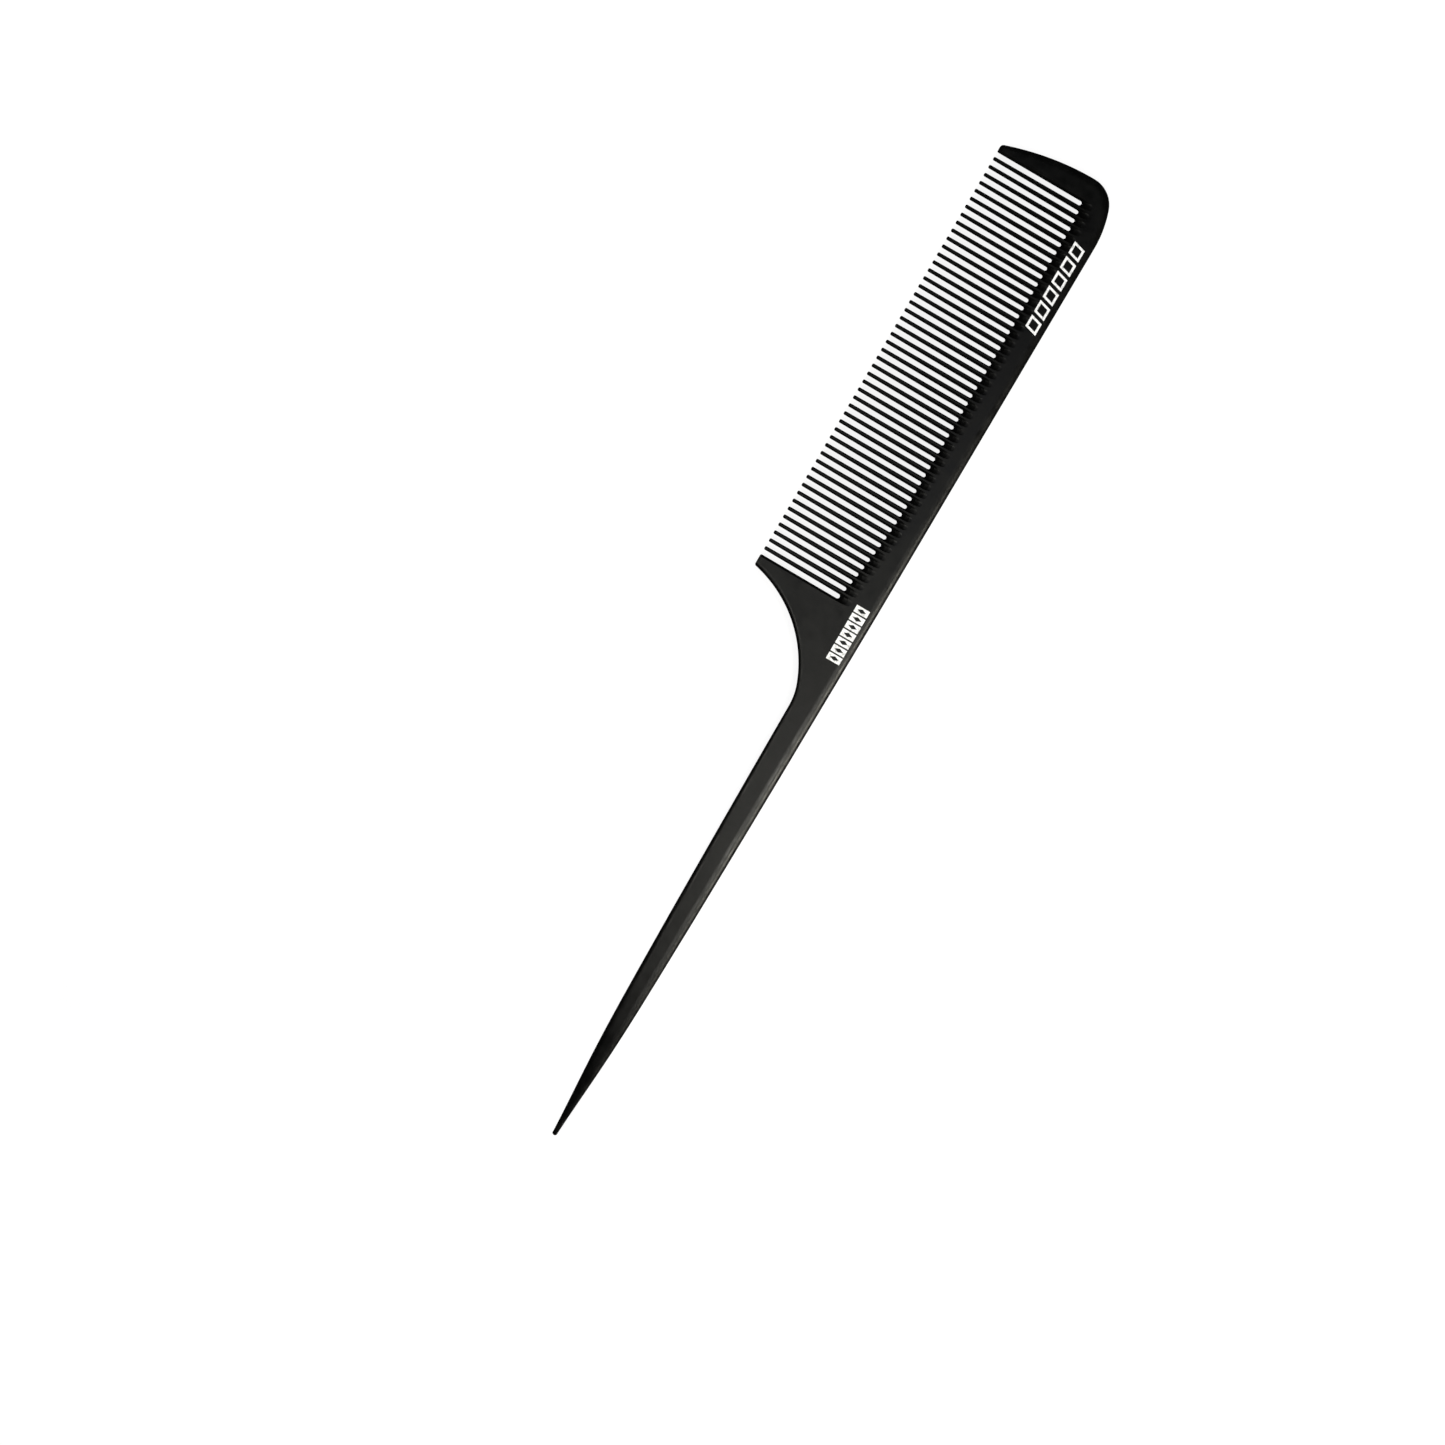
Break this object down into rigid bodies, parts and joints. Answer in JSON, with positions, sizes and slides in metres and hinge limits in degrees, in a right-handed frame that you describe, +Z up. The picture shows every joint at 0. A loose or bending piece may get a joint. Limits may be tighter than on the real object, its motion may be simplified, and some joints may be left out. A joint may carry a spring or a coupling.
{
  "type": "rat tail comb",
  "caption": "Slim parting comb: fine straight teeth between two thick guard teeth, a rounded spine with scooped tooth roots, and a long tapering pointed tail.",
  "frame": {"origin": "middle of the comb's footprint, on the surface it lies on", "axes": "+X along the comb from the tail's tip towards the end guard; +Y from the back edge towards the tooth tips; +Z up through the thickness, out of the printed face"},
  "size_m": [0.23, 0.0278, 0.0038],
  "materials": {
    "carbon_plastic": "satin moulded black, fine grain",
    "white_ink": "thin matt pad-printed ink film"
  },
  "bodies": {
    "root": {"tail": "carbon_plastic", "heel_guard": "carbon_plastic", "spine": "carbon_plastic", "teeth": "carbon_plastic", "end_guard": "carbon_plastic", "print_upper": "white_ink", "print_lower": "white_ink"}
  },
  "joints": []
}
